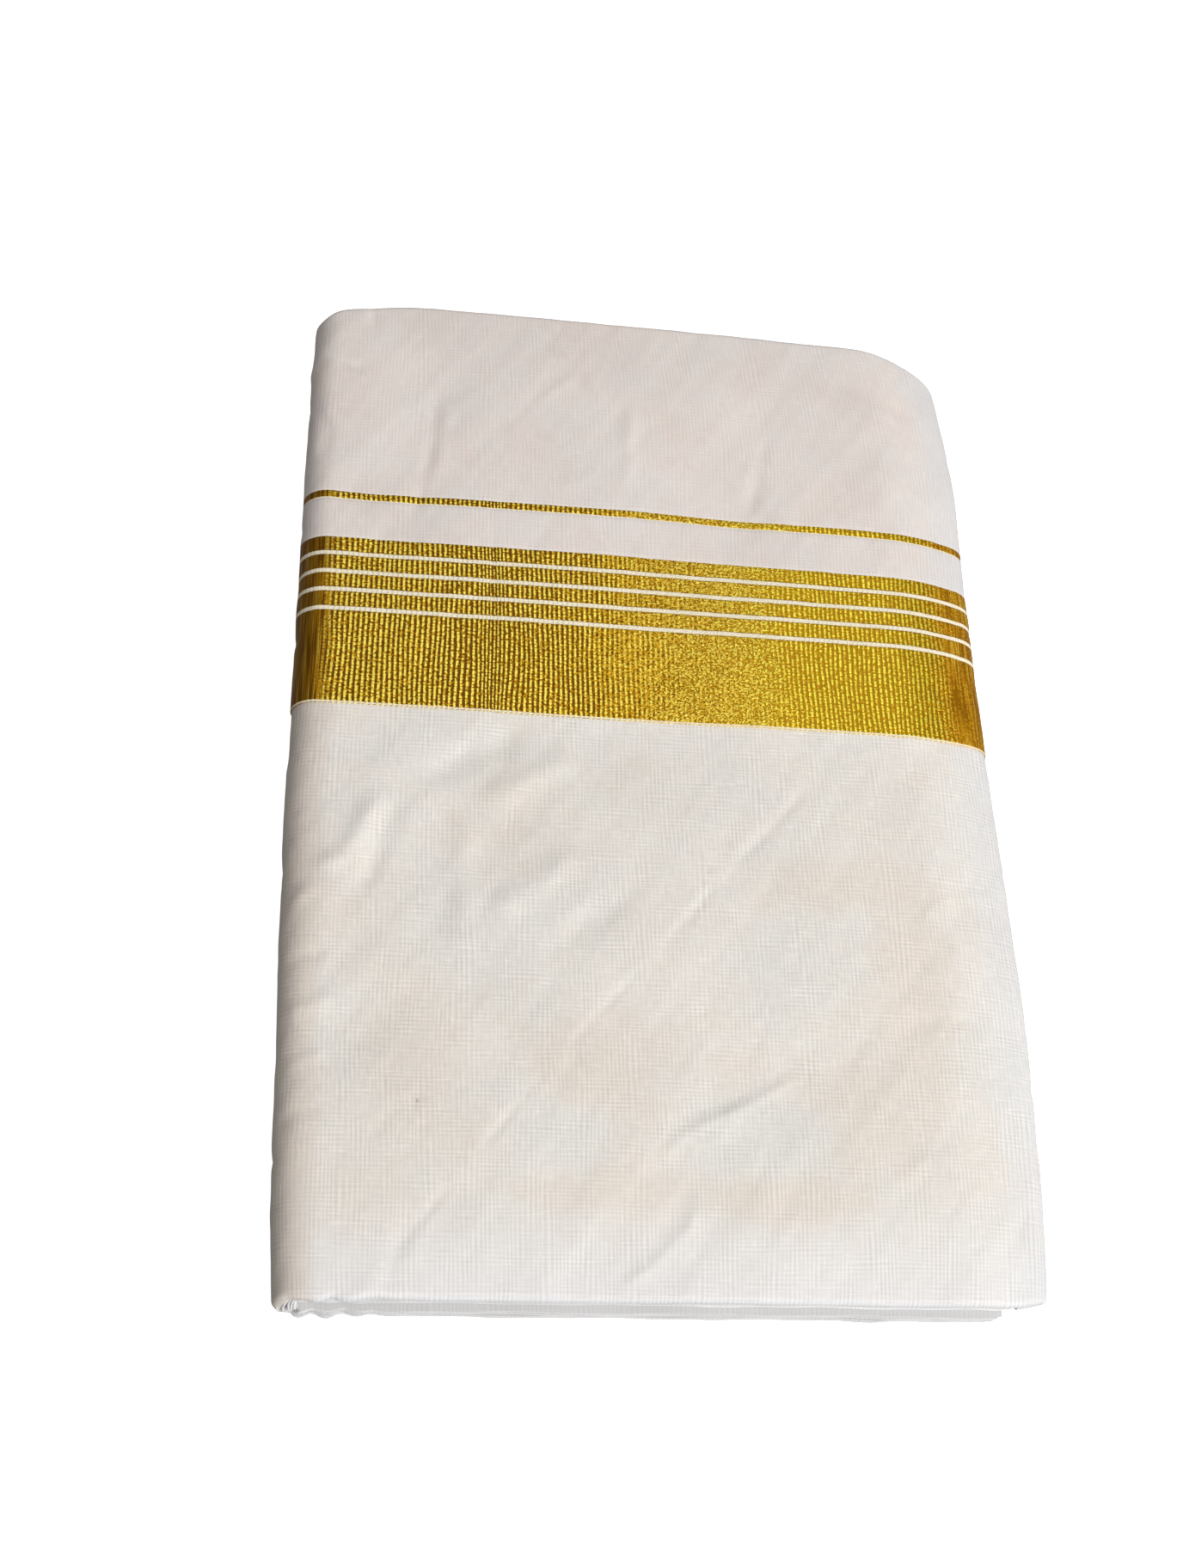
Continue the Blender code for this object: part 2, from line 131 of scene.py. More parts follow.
# Creases, in millimetres: height, with troughs negative, half width, and the line, as places on the cloth.
# The first number of a place is X on the top. It falls to -144 round the spine and runs on to -368 at the cut
# end on the underside, and it rises to 134 round the nose.
CREASES = (
    # the long diagonal crease over the front, in broken lengths
    (-0.32, 1.3, ((-89, -173.6), (-78, -160), (-67, -147))),
    (-0.33, 1.25, ((-64, -143), (-49, -124.5), (-38, -111))),
    (-0.32, 1.25, ((-36, -109), (-22, -93), (-8, -77))),
    (-0.27, 1.2, ((-4, -73), (8, -59), (20, -45.5))),
    (-0.3, 1.25, ((22, -43), (38, -26), (53, -9))),
    # the crease right of the middle, and one that runs in from the near end
    (0.5, 1.8, ((-6, -143), (1, -135), (4.5, -132), (9.5, -129.3), (23, -123.4), (35, -116.4), (44, -112))),
    (0.34, 4.0, ((2, -138), (20, -128), (36, -121))),
    (0.4, 1.8, ((6.6, -150), (6.7, -153), (3.7, -162), (-6.2, -172), (-19, -182))),
    (0.16, 3.2, ((10, -150), (8, -163), (-2, -174))),
    (0.25, 1.0, ((-87, -178), (-86, -174.5), (-83, -172.3), (-78, -171.4))),
    (-0.34, 3.2, ((-80, -157), (-86, -168), (-89, -182))),
    # dents and small ridges that run in from the spine
    (0.5, 2.5, ((-122, -98), (-114, -95), (-106, -91))),
    (0.28, 1.5, ((-122, -115.5), (-115, -112.5), (-107, -109))),
    (0.42, 2.2, ((-122, -62), (-116, -57), (-112, -54))),
    (-0.3, 2.4, ((-126, -134), (-117, -129), (-108, -127))),
    (-0.36, 2.0, ((-124, -83), (-117, -79), (-109, -77))),
    # the bright fold at the left with its shadow, and the soft folds below the border
    (0.8, 3.3, ((-115, -50), (-105, -44), (-100.5, -35.5), (-95, -24), (-93, -18))),
    (-0.75, 3.8, ((-105, -62), (-97, -51), (-93, -40), (-89, -28), (-87, -18))),
    (0.62, 4.6, ((-67, -22), (-65.5, -50), (-67, -80))),
    (-0.95, 6.0, ((-90, -22), (-82, -16), (-64, -4), (-42, 7))),
    (0.7, 5.0, ((-64, -27), (-45, -12), (-25, -3))),
    (0.58, 4.6, ((-60, -63), (-41, -50), (-26, -37))),
    (-0.5, 4.6, ((-44, -78), (-24, -62), (-8, -50))),
    (0.3, 1.2, ((-121, -31), (-116, -29.5))),
    (-0.22, 2.0, ((-97, -140), (-88, -128), (-76, -120))),
    (0.2, 2.6, ((62, -152), (80, -140), (99, -133))),
    (-0.22, 3.0, ((70, -98), (88, -92), (108, -93))),
    (0.22, 2.4, ((84, -58), (98, -49), (116, -45))),
    (-0.24, 2.2, ((104, -172), (112, -160), (116, -147))),
    # the flap
    (-0.36, 2.3, ((-79, 146), (-79, 127), (-82, 104), (-88, 80))),
    (0.22, 2.2, ((-74, 143), (-75, 126), (-78, 106))),
    (0.42, 3.0, ((-5, 147), (-7.5, 128), (-8, 106))),
    (0.15, 2.4, ((-51, 134), (-50, 122), (-50.5, 112))),
    (0.17, 1.7, ((-33, 104), (-26, 109), (-19, 112))),
    (0.15, 1.4, ((-44, 138), (-34, 149), (-22, 159))),
    (-0.4, 2.6, ((46, 136), (41, 116), (37, 98))),
    (-0.45, 2.6, ((-124, 138), (-117, 124), (-118, 106))),
    (-0.3, 2.0, ((-120, 158), (-111, 152), (-104, 151))),
    (0.24, 3.0, ((-36, 168), (-22, 156), (-14, 140))),
    (-0.24, 3.6, ((66, 172), (86, 160), (110, 153))),
    (0.22, 2.6, ((82, 128), (96, 117), (112, 113))),
    (-0.22, 1.1, ((-56.5, 10), (-56.8, 44), (-57.3, 79), (-57.5, 99))),
    (-0.2, 2.4, ((92, 40), (104, 31), (118, 28))),
    (-0.26, 1.6, ((-104, 184), (-103, 176), (-101, 168))),
    # the spine's side
    (-0.4, 1.8, ((-141, -148), (-132, -143), (-124, -141))),
    (-0.36, 2.4, ((-139, -60), (-131, -52), (-125, -41))),
    (0.26, 2.4, ((-142, -20), (-134, -13), (-124, -9))),
    (-0.38, 2.0, ((-140, 34), (-131, 38), (-123, 37))),
    (-0.34, 2.4, ((-141, 92), (-133, 84), (-125, 81))),
    (-0.42, 2.2, ((-143, 128), (-134, 131), (-125, 140))),
    (0.26, 2.6, ((-140, 160), (-132, 154), (-124, 150))),
    # the nose's side
    (-0.34, 2.2, ((133, -120), (126, -113), (117, -110))),
    (-0.3, 2.6, ((132, -42), (126, -36), (119, -35))),
    (-0.34, 2.2, ((134, 66), (126, 61), (117, 63))),
    (-0.32, 2.4, ((133, 132), (125, 139), (117, 140))),
    # the underside, where all of them are troughs, because it lies on a surface
    (-0.4, 2.6, ((-176, -160), (-206, -124), (-231, -84))),
    (-0.34, 2.2, ((-238, -78), (-262, -46), (-281, -20))),
    (-0.36, 3.4, ((-160, -52), (-186, -30), (-216, -24))),
    (-0.3, 2.6, ((-300, -150), (-322, -121), (-330, -88))),
    (-0.4, 3.0, ((-166, 52), (-196, 40), (-228, 46))),
    (-0.3, 2.4, ((-252, 20), (-276, 52), (-292, 90))),
    (-0.36, 3.0, ((-178, 150), (-196, 122), (-202, 92))),
    (-0.34, 2.6, ((-262, 166), (-286, 140), (-322, 132))),
    (-0.28, 2.4, ((-330, 10), (-344, 36), (-346, 66))),
    (-0.3, 3.6, ((-238, -170), (-250, -148), (-248, -122))),
)

CREASE_DEPTH = 1.4  # how deep the creases are pressed, against their heights above

# Slow unevenness of the whole cloth, in millimetres: height, and how long one wave is along X and along Y
SWELLS = (
    (0.07, 61, 47),
    (0.06, -38, 56),
    (0.05, 27, -33),
    (0.045, 19, 24),
    (0.035, -14, 17),
    (0.03, 11, -21),
)

# How the near edges of the plies wander, in millimetres: place across X, half width, and how far it comes
# forward
TOP_EDGE_WAVES = (
    (-119, 2.2, -0.5),
    (-110.0, 2.6, 0.75),
    (-105.5, 2.0, -0.5),
    (-100.5, 3.0, 0.6),
    (-92, 4.0, -0.55),
    (-84, 5.0, -0.25),
    (-38, 9, 0.12),
    (12, 14, -0.14),
    (70, 12, 0.12),
    (98, 7, -0.2),
)
LOWER_EDGE_WAVES = (
    (-119.5, 2.0, -1.3),
    (-115.0, 2.4, 0.9),
    (-110.6, 1.7, -0.75),
    (-106.4, 2.3, 0.75),
    (-101.4, 2.1, -0.95),
    (-96.8, 2.6, 0.3),
    (-92.6, 2.0, -0.5),
    (-86, 3.4, 0.15),
    (20, 14, -0.1),
    (56, 7, -0.2),
    (66, 4, 0.3),
    (78, 5, -0.25),
    (92, 5, 0.05),
    (103, 3, 0.45),
)

# The plies inside, counted from the outermost: where each one's near and far edge lies inside the furthest
# one's, in millimetres, first in the upper group and then in the lower one
PLY_COLUMNS = ("ply", "upper_near", "upper_far", "lower_near", "lower_far")
PLIES = (
    (1, 1.5, 2.9, 0.15, 0.5),
    (2, 0.5, 2.2, 0.3, 0.2),
    (3, 0.3, 2.6, 0.1, 0.7),
    (4, 0.45, 2.0, 1.5, 0.3),
    (5, 1.9, 2.5, 0.35, 0.9),
    (6, 0.5, 1.8, 0.2, 0.5),
    (7, 0.3, 2.2, 0.4, 1.0),
)

# Where each ply of the lower group ends inside the underside's right edge, and how far its turn to the next
# one bulges out, in millimetres
LOWER_ENDS = {1: 4.6, 2: 3.4, 3: 3.4, 4: 2.6, 5: 2.6, 6: 2.6, 7: 2.6}
LOWER_BULGES = {(4, 7): 2.4, (5, 6): 1.1, (2, 3): 0.9}

# Painted shade on the cloth between two plies: on their faces, and round their edges from one face to the
# other
FACE_SHADE = 0.75
RIM_SHADES = (1.0, 0.15, 0.0, 0.15, 1.0)

# How the ribbon inside is folded: the ply that it comes down on, from the upper group to the lower one, the
# ply that it goes back up on, and the next one to come down on. The last ply comes down to the cut end.
RIBBON_TURNS = ((7, 4, 3), (3, 2, 5), (5, 6, 1), (1, None, None))


class Curves:
    """The columns of a table, each as a smooth curve through the rows along the first column."""

    def __init__(self, columns, rows):
        table = np.array(rows, float) * MM
        self.knots = table[:, 0]
        self.columns = {}
        for name, values in zip(columns, table.T):
            self.columns[name] = (values, np.gradient(values, self.knots))

    def at(self, name, place):
        values, slopes = self.columns[name]
        knots = self.knots
        place = np.minimum(np.maximum(place, knots[0]), knots[-1])
        i = np.minimum(np.searchsorted(knots, place, side="right") - 1, len(knots) - 2)
        span = knots[i + 1] - knots[i]
        t = (place - knots[i]) / span
        low, high = t * t * (2 * t - 3), t * t * (t - 1)
        from_start = (1 + low) * values[i] + (high - t * t + t) * span * slopes[i]
        return from_start - low * values[i + 1] + high * span * slopes[i + 1]


SECTION_CURVES = Curves(SECTION_COLUMNS, SECTIONS)
END_CURVES = Curves(END_COLUMNS, ENDS)


def section(name, y):
    return SECTION_CURVES.at(name, y)


def end(name, x):
    return END_CURVES.at(name, x)


def ease(t):
    """0 to 1, with flat ends."""
    t = np.clip(t, 0.0, 1.0)
    return t * t * (3 - 2 * t)


def fold_height(x, y):
    """Sum of the soft ridges and troughs at places on the top."""
    x0, y0, x1, y1, width, height = np.array(FOLDS).T * MM
    length = np.hypot(x1 - x0, y1 - y0)
    along_x, along_y = (x1 - x0) / length, (y1 - y0) / length
    from_x, from_y = np.asarray(x)[..., None] - x0, np.asarray(y)[..., None] - y0
    run = from_x * along_x + from_y * along_y
    side = from_y * along_x - from_x * along_y
    past_end = np.maximum(np.maximum(-run, run - length), 0.0)
    return (height * np.exp(-((side / width) ** 2) - (past_end / width) ** 2)).sum(-1)


def top_height(x, y):
    """Height of the outermost surface, between the spine and the nose."""
    left, right = section("left", y), section("right", y)
    middle, half = (left + right) / 2, (right - left) / 2
    crown = CROWN * (1 - ((x - middle) / half) ** 2)
    reach = np.clip((x - right + DROOP_LENGTH) / (DROOP_LENGTH - NOSE_RADIUS), 0.0, 1.0)
    return section("thick", y) + crown + fold_height(x, y) - reach**2 * section("droop", y)


def spine_half(y):
    return top_height(section("left", y) + section("thick", y) / 2, y) / 2


def spine_radius(y):
    return spine_half(y) + SPINE_EASE


def spine_centre(y):
    return section("left", y) + spine_radius(y)


def nose_half(y):
    return (spine_half(y) - SLIT / 2) / 2


def nose_centre(y):
    return section("right", y) - NOSE_RADIUS


def nose_lean(y):
    """How steeply the drooping top meets the nose, which leans down with it."""
    return 2 * section("droop", y) / (DROOP_LENGTH - NOSE_RADIUS)


SPINE_X = float(spine_centre(0.0))
NOSE_X = float(nose_centre(0.0))
UNDER_X = float(section("under_right", 0.0))
SPINE_ARC = 9.0 * MM  # mean radius of the cloth's turn round the spine
NOSE_ARC = 5.4 * MM  # and round the nose


def place_along(stretch, t):
    """A step's place along the wrap, on the bundle's middle row, which is X on the top."""
    angle = math.radians(t)
    if stretch == "tuck":
        return NOSE_X + NOSE_ARC * math.pi + TUCK * (1 - t)
    if stretch == "nose":
        return NOSE_X + NOSE_ARC * (math.pi / 2 - angle)
    if stretch == "top":
        return NOSE_X + t * (SPINE_X - NOSE_X)
    if stretch == "spine":
        return SPINE_X - SPINE_ARC * (angle - math.pi / 2)
    return SPINE_X - SPINE_ARC * math.pi - t * (UNDER_X - UNDER_END - SPINE_X)


def across(stretch, t):
    """Where a step is across X, on the bundle's middle row."""
    angle = math.radians(t)
    if stretch == "tuck":
        return NOSE_X - TUCK * (1 - t)
    if stretch == "nose":
        return NOSE_X + NOSE_RADIUS * math.cos(angle)
    if stretch == "top":
        return NOSE_X + t * (SPINE_X - NOSE_X)
    if stretch == "spine":
        return SPINE_X + float(spine_radius(0.0)) * math.cos(angle)
    return SPINE_X + t * (UNDER_X - UNDER_END - SPINE_X)


def spine_share(angle):
    """How far a step on the spine belongs to the top, 1 at its start and 0 on its lower part."""
    return float(ease((215 - angle) / 125))


def setback(stretch, t):
    """How far the cloth ends inside the lowest plies, at one step."""
    if stretch == "under":
        return 0.0
    if stretch == "spine":
        return TOP_SETBACK * spine_share(t)
    return TOP_SETBACK


def edge_wave(waves, x):
    return sum(forward * MM * math.exp(-(((x / MM - at) / width) ** 2)) for at, width, forward in waves)


def row_places(stretch, t, rows):
    """The rows' real Y on one step: the rows past END_ZONE stretch to meet the plies' ends."""
    x = across(stretch, t)
    if stretch in ("top", "tuck", "nose"):
        on_top = 1.0
    elif stretch == "spine":
        on_top = spine_share(t)
    else:
        on_top = 0.0
    near = end("near", x) + setback(stretch, t) - on_top * edge_wave(TOP_EDGE_WAVES, x)
    far = end("far", x) - setback(stretch, t)
    share = (np.abs(rows) - END_ZONE) / (END_ROW - END_ZONE)
    places = np.where(rows > END_ZONE, END_ZONE + share * (far - END_ZONE), rows)
    return np.where(rows < -END_ZONE, -END_ZONE + share * (near + END_ZONE), places)


def wrap_points(stretch, t, y, depth):
    """Points of the outer cloth on one step, at places along Y and depths inwards."""
    angle = math.radians(t)
    if stretch == "tuck":
        x = nose_centre(y) - TUCK * (1 - t)
        z = top_height(x, y) - 2 * nose_half(y) + depth
    elif stretch == "nose":
        out = (NOSE_RADIUS - depth) * math.cos(angle)
        x = nose_centre(y) + out
        centre = top_height(nose_centre(y), y) - nose_half(y) - nose_lean(y) * out
        z = centre + (nose_half(y) - depth) * math.sin(angle)
    elif stretch == "top":
        x = nose_centre(y) + t * (spine_centre(y) - nose_centre(y))
        z = top_height(x, y) - depth
    elif stretch == "spine":
        x = spine_centre(y) + (spine_radius(y) - depth) * math.cos(angle)
        z = spine_half(y) + (spine_half(y) - depth) * math.sin(angle)
    else:
        x = spine_centre(y) + t * (section("under_right", y) - UNDER_END - spine_centre(y))
        z = depth + 0 * y
    return np.stack([x, y, z], -1)


def relief(along, y):
    """How far the cloth stands proud at each place on it: its slow unevenness and its creases."""
    total = np.zeros(along.shape)
    for i, (height, wave_x, wave_y) in enumerate(SWELLS):
        phase = 2 * math.pi * (along / (wave_x * MM) + y / (wave_y * MM)) + 1.7 * i
        total += height * MM * np.sin(phase + 1.3 * np.sin(0.6 * phase + i))
    total *= 0.35 + 0.65 * (along > -140 * MM)
    for row, (height, width, line) in enumerate(CREASES):
        points = np.array(line, float) * MM
        room = 3 * width * MM
        low, high = points.min(0) - room, points.max(0) + room
        near = (along > low[0]) & (along < high[0]) & (y > low[1]) & (y < high[1])
        if not near.any():
            continue
        a, b = along[near], y[near]
        closest, run_there, run = np.full(a.shape, 1.0), np.zeros(a.shape), 0.0
        for (x0, y0), (x1, y1) in zip(points, points[1:]):
            length = math.hypot(x1 - x0, y1 - y0)
            t = np.clip(((a - x0) * (x1 - x0) + (b - y0) * (y1 - y0)) / length**2, 0, 1)
            away = np.hypot(a - x0 - t * (x1 - x0), b - y0 - t * (y1 - y0))
            run_there = np.where(away < closest, run + t * length, run_there)
            closest = np.minimum(away, closest)
            run += length
        share = run_there / run
        taper = ease(share / 0.3 + 0.1) * ease((1 - share) / 0.3 + 0.1)
        uneven = 0.78 + 0.22 * np.sin(run_there / (3.1 * MM) + 2.3 * row + np.sin(run_there / (7.3 * MM)))
        total[near] += CREASE_DEPTH * height * MM * taper * uneven * np.exp(-((closest / (width * MM)) ** 2))
    return total


def new_piece(name, rings, places, material, sharp=50):
    """A closed mesh from rings of points, each joined to the next, with each point's place on the cloth."""
    steps, count = rings.shape[:2]
    points = rings.reshape(-1, 3)
    i = np.arange(steps - 1)[:, None] * count
    j = np.arange(count)[None, :]
    k = (j + 1) % count
    quads = np.stack([i + j, i + k, i + count + k, i + count + j], -1).reshape(-1, 4)
    faces = [tuple(q) for q in quads.tolist()]
    faces.append(tuple(range(count))[::-1])
    faces.append(tuple(range((steps - 1) * count, steps * count)))
    data = bpy.data.meshes.new(name)
    data.from_pydata(points.tolist(), [], faces)
    held = data.attributes.new("cloth", "FLOAT_VECTOR", "POINT")
    held.data.foreach_set("vector", places.reshape(-1, 3).astype(np.float32).ravel())
    mesh = bmesh.new()
    mesh.from_mesh(data)
    bmesh.ops.triangulate(mesh, faces=[face for face in mesh.faces if len(face.verts) > 4])
    bmesh.ops.recalc_face_normals(mesh, faces=mesh.faces)
    mesh.to_mesh(data)
    mesh.free()
    data.materials.append(material)
    data.shade_smooth()
    data.set_sharp_from_angle(angle=math.radians(sharp))
    piece = bpy.data.objects.new(name, data)
    bpy.context.collection.objects.link(piece)
    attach(piece, "root")
    return piece


def spread(start, stop, pitch):
    """Evenly spaced numbers from start to stop, both ends in, about a pitch apart."""
    return list(np.linspace(start, stop, max(2, round(abs(stop - start) / pitch) + 1)))


def wrap_path(pitch, under_pitch):
    """The steps round the bundle, from the tuck under the nose to the cut end on the underside."""
    path = [("tuck", t) for t in (0.0, 0.5)]
    path += [("nose", a) for a in spread(-90, 90, 12)[:-1]]
    path += [("top", t) for t in spread(0, 1, pitch / abs(SPINE_X - NOSE_X))[:-1]]
    path += [("spine", a) for a in spread(90, 270, 9)[:-1]]
    path += [("under", t) for t in spread(0, 1, under_pitch / (UNDER_X - UNDER_END - SPINE_X))]
    return path


def lip_points(stretch, t, y, depth, lip, shell, outwards):
    """The points round one end of a shell, from outer to inner face: a fold inwards, or a rounded rim."""
    if not lip:
        turn = np.radians((45, 90, 135))
        reach = y + outwards * shell * 0.5 * np.sin(turn)
        level = depth + shell / 2 - shell / 2 * np.cos(turn)
        return wrap_points(stretch, t, reach, level), reach
    outer, inner = np.radians((12, 26, 40, 55, 70, 90, 110, 130, 148)), np.radians((148, 110, 70, 30))
    reach = np.concatenate([y + outwards * lip * np.sin(outer), y + outwards * (lip - shell) * np.sin(inner)])
    level = np.concatenate([depth + lip - lip * np.cos(outer), depth + lip - (lip - shell) * np.cos(inner)])
    beyond = np.concatenate([y + outwards * lip * outer, y + outwards * lip * inner])
    return wrap_points(stretch, t, reach, level), beyond


def shell_piece(name, material, path, rows, depth_at, shell, near_lip=0.0, far_lip=0.0, inner_every=8):
    """A thin shell of cloth that wraps the bundle, creased outside and plainer inside."""
    rows = np.array(rows)
    y = np.array([row_places(stretch, t, rows) for stretch, t in path])
    along = np.array([np.full(len(rows), place_along(stretch, t)) for stretch, t in path])
    depth = depth_at(y) - relief(along, y)
    on_surface = np.array([stretch == "under" for stretch, _ in path])
    depth[on_surface] = np.maximum(depth[on_surface], 0.0)
    picks = list(range(0, len(rows), inner_every))
    if picks[-1] != len(rows) - 1:
        picks.append(len(rows) - 1)
    rings, places = [], []
    for i, (stretch, t) in enumerate(path):
        spans = [slice(max(0, p - inner_every), p + inner_every + 1) for p in picks]
        deep = np.array([depth[i][span].max() for span in spans]) + shell
        outer = wrap_points(stretch, t, y[i], depth[i])
        inner = wrap_points(stretch, t, y[i][picks], deep)
        far, far_v = lip_points(stretch, t, y[i][-1], depth[i][-1], far_lip, shell, 1)
        near, near_v = lip_points(stretch, t, y[i][0], depth[i][0], near_lip, shell, -1)
        rings.append(np.concatenate([outer, far, inner[::-1], near[::-1]]))
        v = np.concatenate([y[i], far_v, y[i][picks][::-1], near_v[::-1]])
        places.append(np.stack([np.full(len(v), along[i][0]), v, np.zeros(len(v))], -1))
    return new_piece(name, np.array(rings), np.array(places), material)


def ply_shade(inset):
    """How much painted shade a ply's edge gets, from 0 to 1.6: the further it lies behind the others, the
    darker.
    """
    return min(max((inset - 0.6 * MM) / (0.6 * MM), 0.0), 1.6)


def ply_path():
    """The folded ribbon's steps, from the ply over the tuck, as (stretch, t, ply, next ply)."""
    top = spread(0, 0.86, 5.5 * MM / (NOSE_X - SPINE_X)) + spread(0.87, 1, 1.3 * MM / (NOSE_X - SPINE_X))
    under = spread(0, 0.14, 1.3 * MM / (UNDER_X - SPINE_X)) + spread(0.16, 1, 5.5 * MM / (UNDER_X - SPINE_X))
    round_spine = spread(90, 270, 11)[1:-1]
    turn = spread(0, 180, 18)[1:-1]
    steps = []
    for down, up, after in RIBBON_TURNS:
        for stretch, places in (("top", top), ("spine", round_spine), ("under", under)):
            steps += [(stretch, t, down, down) for t in places]
        if up is None:
            break
        steps += [("lower_nose", t, down, up) for t in turn]
        for stretch, places in (("under", under), ("spine", round_spine), ("top", top)):
            steps += [(stretch, t, up, up) for t in reversed(places)]
        steps += [("upper_nose", t, up, after) for t in turn]
    return steps


def core_depth(y):
    sunk = (y - SELVEDGE_Y + SETTLE_LENGTH) / (SETTLE_LENGTH - SETTLE_EARLY)
    return (CLOTH_WALL + PLY_GAP) * (1 + ease(sunk)) - 0.15 * MM


def ply_depth(ply, y):
    """Depth of a ply's middle below the outermost surface, and its pitch, in its group of plies."""
    group = spine_half(y) - SLIT / 2
    shell = core_depth(y)
    pitch = (group - 2 * shell) / 6
    if ply == 7:
        return group - shell / 2, shell
    return shell + (ply - 0.5) * pitch, pitch


def ply_edge(column, ply):
    return PLIES[ply - 1][PLY_COLUMNS.index(column)] * MM


def ply_point(stretch, t, ply, other, y):
    """A ply's middle on one step, and its pitch. On a nose t turns from one ply to the other."""
    depth, pitch = ply_depth(ply, y)
    angle = math.radians(t)
    group = spine_half(y) - SLIT / 2
    if stretch == "top":
        x = nose_centre(y) + t * (spine_centre(y) - nose_centre(y))
        if ply == 7:
            x = np.minimum(x, nose_centre(y) - TUCK - 1.2 * MM + t * 3 * MM)
        return x, top_height(x, y) - depth, pitch
    if stretch == "spine":
        x = spine_centre(y) + (spine_radius(y) - depth) * math.cos(angle)
        return x, spine_half(y) + (spine_half(y) - depth) * math.sin(angle), pitch
    if stretch == "upper_nose":
        other_depth, other_pitch = ply_depth(other, y)
        share = (1 - math.cos(angle)) / 2
        level = depth + (other_depth - depth) * share
        bulge = NOSE_RADIUS - np.minimum(depth, other_depth)
        out = bulge * math.sin(angle)
        x = nose_centre(y) + out
        z = top_height(nose_centre(y), y) - level - nose_lean(y) * out
        return x, z, pitch + (other_pitch - pitch) * share
    # The lower group's height follows the top above it
    right = section("under_right", y) - LOWER_ENDS[ply] * MM
    x = spine_centre(y) + (t if stretch == "under" else 1.0) * (right - spine_centre(y))
    shell = core_depth(y)
    room = top_height(x, y) - spine_half(y) - SLIT / 2
    scale = (room - shell) / (group - shell)
    if stretch == "under":
        return x, shell + (depth - shell) * scale, pitch * scale
    other_depth, other_pitch = ply_depth(other, y)
    share = (1 - math.cos(angle)) / 2
    level = depth + (other_depth - depth) * share
    bulge = LOWER_BULGES[min(ply, other), max(ply, other)] * MM
    thick = (pitch + (other_pitch - pitch) * share) * scale
    return x + bulge * math.sin(angle), shell + (level - shell) * scale, thick


def ply_ends(stretch, t, ply, other, length_along):
    """The near and far Y of a ply's edges on one step, and the painted shade at each edge."""
    share = (1 - math.cos(math.radians(t))) / 2 if "nose" in stretch else 0.0
    if stretch in ("top", "upper_nose"):
        upper = 1.0
    elif stretch == "spine":
        upper = spine_share(t)
    else:
        upper = 0.0
    if stretch == "upper_nose":
        x = NOSE_X + 4 * MM * math.sin(math.radians(t))
    elif stretch == "lower_nose":
        x = UNDER_X - 2 * MM
    else:
        x = across(stretch, t)

    def inset(side):
        values = []
        for one in (ply, other):
            high, low = ply_edge("upper_" + side, one), ply_edge("lower_" + side, one)
            values.append(high * upper + low * (1 - upper))
        return values[0] + (values[1] - values[0]) * share

    small = 0.16 * MM * math.sin(length_along / (9.0 * MM) + 1.9 * ply)
    small += 0.1 * MM * math.sin(length_along / (3.7 * MM) + 0.7 * ply)
    wave = edge_wave(LOWER_EDGE_WAVES, x) * (0.45 + 0.55 * (1 - upper)) * (1.0 - 0.055 * ply)
    near_in, far_in = inset("near"), inset("far")
    near = float(end("near", x)) + TOP_SETBACK * upper - LOWER_FORWARD * (1 - upper) + near_in - wave + small
    far = float(end("far", x)) - TOP_SETBACK * 0.6 * upper - far_in + 0.8 * small
    return near, far, ply_shade(near_in), ply_shade(far_in - 1.5 * MM * upper)


def folded_plies(name, material):
    """All the plies inside, as the one ribbon that they are, with rounded edges at both ends."""
    path = ply_path()
    inside = np.array([0.004, 0.03, 0.09, 0.2, 0.34, 0.5, 0.66, 0.8, 0.91, 0.97, 0.996])
    middle_row = len(inside) // 2
    middles, halves, along, ends = [], [], [], []
    run, last = 0.0, None
    for stretch, t, ply, other in path:
        near, far, near_shade, far_shade = ply_ends(stretch, t, ply, other, run)
        y = near + inside * (far - near)
        y = np.concatenate([[near + PLY_RIM], y[1:-1], [far - PLY_RIM]])
        x, z, pitch = ply_point(stretch, t, ply, other, y)
        middles.append(np.stack([x, y, z], -1))
        halves.append(0.5 * pitch - 0.03 * MM)
        here = middles[-1][middle_row]
        run += 0.0 if last is None else float(np.linalg.norm((here - last)[[0, 2]]))
        last = here
        along.append(run)
        ends.append((near_shade, far_shade))
    middles, halves = np.array(middles), np.array(halves)
    tangent = np.gradient(middles, axis=0)[:, :, [0, 2]]
    tangent /= np.linalg.norm(tangent, axis=2, keepdims=True) + 1e-12
    normal = np.stack([-tangent[:, :, 1], np.zeros(halves.shape), tangent[:, :, 0]], -1)
    turn = np.radians((25, 55, 90, 125, 155))
    between_plies = np.array(RIM_SHADES)
    rings, places = [], []
    for i, (near_shade, far_shade) in enumerate(ends):
        face = middles[i] + normal[i] * halves[i][:, None]
        back = middles[i] - normal[i] * halves[i][:, None]

        def edge(row, outwards):
            radius = halves[i][row]
            out = middles[i][row] + normal[i][row] * (radius * np.cos(turn))[:, None]
            out[:, 1] += outwards * PLY_RIM * np.sin(turn)
            return out

        ring = np.concatenate([face, edge(-1, 1), back[::-1], edge(0, -1)[::-1]])
        rings.append(ring)
        v = ring[:, 1] + 0.3 * MM
        # the third place number carries painted shade: on the faces, and round the edges between plies
        flat = np.full(len(face), FACE_SHADE)
        far_rim, near_rim = (np.maximum(between_plies, shade) for shade in (far_shade, near_shade))
        shade = np.concatenate([flat, far_rim, flat, near_rim])
        places.append(np.stack([np.full(len(ring), along[i]), v, shade], -1))
    return new_piece(name, np.array(rings), np.array(places), material, sharp=60)


